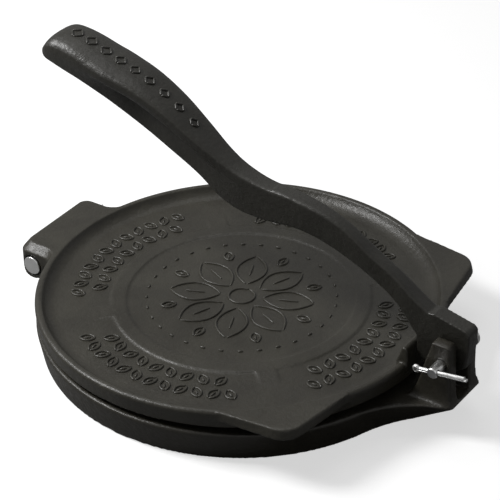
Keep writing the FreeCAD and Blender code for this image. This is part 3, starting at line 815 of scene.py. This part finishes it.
def laid_stroke(mesh, tree, points, height, radius=STROKE_RADIUS):
    """A stroke through (x, y) points, dropped from a height onto a surface."""
    places = []
    normals = []
    for x, y in points:
        place, normal, _, _ = tree.ray_cast(Vector((x, y, height)), Vector((0, 0, -1)))
        places.append(place)
        normals.append(normal)
    stroke(mesh, places, normals, radius)


def leaf_lines(centre, angle, length, width):
    """The two edges and the vein of a leaf around a centre, pointing along an angle."""
    along = polar(1.0, angle)
    across = Vector((-along.y, along.x))
    lines = []
    for side in (-1, 1):
        line = []
        for step in range(LEAF_STEPS + 1):
            share = step / LEAF_STEPS
            swell = math.sin(math.pi * share) ** LEAF_SWELL
            line.append(centre + along * (length * (share - 0.5))
                        + across * (side * width / 2 * swell))
        lines.append(line)
    lines.append([centre + along * (length * share) for share in (-VEIN_SHARE, 0.0, VEIN_SHARE)])
    return lines


def laid_leaf(mesh, tree, centre, angle, height, length=LEAF_LENGTH, width=LEAF_WIDTH):
    """A leaf laid on a surface."""
    for line in leaf_lines(centre, angle, length, width):
        laid_stroke(mesh, tree, line, height)


def lid_ornament(lid):
    """Leaves in four sectors of the lid, a rosette in the middle and a ring of beads."""
    tree = surface_of(lid)
    height = CAD_BOX[1][2]
    mesh = bmesh.new()
    for sector in range(SECTOR_COUNT):
        middle = 2 * math.pi * sector / SECTOR_COUNT
        for radius, count, share in ((OUTER_BAND_RADIUS, OUTER_LEAVES, 1.0),
                                     (INNER_BAND_RADIUS, INNER_LEAVES, INNER_SECTOR_SHARE)):
            half = SECTOR_HALF_ANGLE * share
            for index in range(count):
                angle = middle + half * (2 * index / (count - 1) - 1)
                lean = LEAF_LEAN if (index + sector) % 2 else -LEAF_LEAN
                laid_leaf(mesh, tree, polar(radius, angle), angle + lean, height)
    for index in range(PETAL_COUNT):
        angle = 2 * math.pi * (index + 0.5) / PETAL_COUNT
        centre = polar((PETAL_START + PETAL_END) / 2, angle)
        laid_leaf(mesh, tree, centre, angle, height, PETAL_END - PETAL_START, PETAL_WIDTH)
        between = angle + math.pi / PETAL_COUNT
        laid_leaf(mesh, tree, polar(PETAL_END, between), between, height)
    for index in range(BEAD_COUNT):
        angle = 2 * math.pi * index / BEAD_COUNT
        centre = polar(BEAD_RING_RADIUS, angle)
        along = polar(BEAD_RADIUS, angle + math.pi / 2)
        laid_stroke(mesh, tree, [centre - along, centre, centre + along], height,
                    BEAD_STROKE_RADIUS)
    ring = [polar(CENTRE_RING_RADIUS, 2 * math.pi * step / CENTRE_RING_STEPS)
            for step in range(CENTRE_RING_STEPS + 1)]
    laid_stroke(mesh, tree, ring, height)
    relief_piece(mesh, "lid_ornament", LID_IRON, "lid")


def grip_ornament(lever):
    """A row of small lozenges on the crown of the grip."""
    tree = surface_of(lever)
    height = CAD_BOX[1][2] * 2
    mesh = bmesh.new()
    for index in range(LOZENGE_COUNT):
        share = index / (LOZENGE_COUNT - 1)
        y = LOZENGE_START + (LOZENGE_END - LOZENGE_START) * share
        size = 1.0 - LOZENGE_SHRINK * share
        long = LOZENGE_LENGTH * size / 2
        wide = LOZENGE_WIDTH * size / 2
        corners = [(0, y - long), (wide, y), (0, y + long), (-wide, y), (0, y - long)]
        for first, second in zip(corners, corners[1:]):
            points = [(first[0] + (second[0] - first[0]) * step / LOZENGE_STEPS,
                       first[1] + (second[1] - first[1]) * step / LOZENGE_STEPS)
                      for step in range(LOZENGE_STEPS + 1)]
            laid_stroke(mesh, tree, points, height)
    relief_piece(mesh, "grip_ornament", LEVER_IRON, "lever")


def relief_piece(mesh, name, material, body):
    """Turns raised strokes into one softened piece."""
    piece = solid_piece(mesh, name)
    rounder = piece.modifiers.new("round", "SUBSURF")
    rounder.levels = 1
    rounder.render_levels = 1
    finished(piece)
    piece.data.materials.append(material)
    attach(piece, body)


def dress_pins():
    """Gives the two pins their plated finish."""
    for name in ("lever_pin", "hinge_pin"):
        node = frame["nodes"][name]
        node.data.materials.clear()
        node.data.materials.append(STEEL)


# Stage
def seen_or_mirrored(tree, path):
    """One for what the camera sees itself, a share for what it sees mirrored, else none."""
    node = tree.nodes.new("ShaderNodeMath")
    node.operation = "MULTIPLY_ADD"
    node.inputs[1].default_value = MIRRORED_SHARE
    tree.links.new(path.outputs["Is Glossy Ray"], node.inputs[0])
    tree.links.new(path.outputs["Is Camera Ray"], node.inputs[2])
    return node.outputs["Value"]


def floor():
    """A plain pale floor that keeps the object's shadow."""
    mesh = bpy.data.meshes.new("floor")
    corners = ((-1, -1), (1, -1), (1, 1), (-1, 1))
    mesh.from_pydata([(x * FLOOR_HALF, y * FLOOR_HALF, CAD_BOX[0][2] - FLOOR_DROP)
                      for x, y in corners], [], [(0, 1, 2, 3)])
    piece = link(mesh, "floor")
    material, tree, shader = nodes_of("floor_paper")
    coordinates = tree.nodes.new("ShaderNodeTexCoord")
    fibre = noise_node(tree, coordinates, FLOOR_FIBRE_SCALE, 3.0)
    paper = colour_mix(tree, fibre.outputs["Fac"], *FLOOR_SHADES)
    path = tree.nodes.new("ShaderNodeLightPath")
    colour = colour_mix(tree, seen_or_mirrored(tree, path), FLOOR_BOUNCE, FLOOR_BOUNCE)
    tree.links.new(paper.outputs["Result"], colour.inputs["B"])
    tree.links.new(colour.outputs["Result"], shader.inputs["Base Color"])
    shader.inputs["Roughness"].default_value = 1.0
    shader.inputs["Specular IOR Level"].default_value = 0.0
    lift = ramp_node(tree, path.outputs["Is Camera Ray"], (0.0, 1.0), (0.0, FLOOR_LIFT))
    shader.inputs["Emission Color"].default_value = (1.0, 1.0, 1.0, 1.0)
    tree.links.new(lift.outputs["Result"], shader.inputs["Emission Strength"])
    mesh.materials.append(material)


def world():
    """A soft studio surround, white where the camera sees it."""
    surround = bpy.data.worlds.new("studio")
    bpy.context.scene.world = surround
    surround.use_nodes = True
    tree = surround.node_tree
    background = tree.nodes["Background"]
    path = tree.nodes.new("ShaderNodeLightPath")
    strength = ramp_node(tree, seen_or_mirrored(tree, path), (0.0, 1.0), (AMBIENT, 1.0))
    background.inputs["Color"].default_value = (1.0, 1.0, 1.0, 1.0)
    tree.links.new(strength.outputs["Result"], background.inputs["Strength"])


def lamp(name, place, aim, size, power):
    """A square soft lamp that points at a place."""
    data = bpy.data.lights.new(name, "AREA")
    data.shape = "SQUARE"
    data.size = size
    data.energy = power
    piece = bpy.data.objects.new(name, data)
    bpy.context.scene.collection.objects.link(piece)
    piece.location = place
    direction = Vector(aim) - Vector(place)
    piece.rotation_euler = direction.to_track_quat("-Z", "Y").to_euler()


def camera():
    """The camera at the photograph's place."""
    back = Vector((math.sin(CAMERA_AZIMUTH) * math.cos(CAMERA_ELEVATION),
                   -math.cos(CAMERA_AZIMUTH) * math.cos(CAMERA_ELEVATION),
                   math.sin(CAMERA_ELEVATION)))
    right = Vector((math.cos(CAMERA_AZIMUTH), math.sin(CAMERA_AZIMUTH), 0))
    up = back.cross(right)
    turned_right = right * math.cos(CAMERA_ROLL) + up * math.sin(CAMERA_ROLL)
    turned_up = up * math.cos(CAMERA_ROLL) - right * math.sin(CAMERA_ROLL)
    data = bpy.data.cameras.new("camera")
    data.sensor_width = CAMERA_SENSOR
    data.sensor_fit = "HORIZONTAL"
    data.lens = CAMERA_LENS
    data.clip_start, data.clip_end = CAMERA_CLIP
    piece = bpy.data.objects.new("camera", data)
    bpy.context.scene.collection.objects.link(piece)
    rotation = Matrix((turned_right, turned_up, back)).transposed().to_4x4()
    piece.matrix_world = Matrix.Translation(CAMERA_TARGET + back * CAMERA_DISTANCE) @ rotation
    bpy.context.scene.camera = piece


bpy.context.scene.view_settings.view_transform = "Standard"
camera()
world()
floor()
for settings in LAMPS:
    lamp(*settings)

base_casting()
lid_ornament(lid_casting())
grip_ornament(lever_casting())
dress_pins()
split_pin("lever_cotter", "base", LEVER_COTTER_PLACE, LEVER_COTTER_EYE, LEVER_COTTER_TAIL,
          LEVER_COTTER_TILT)
split_pin("hinge_cotter", "base", HINGE_COTTER_PLACE, HINGE_COTTER_EYE, HINGE_COTTER_TAIL,
          HINGE_COTTER_TILT)
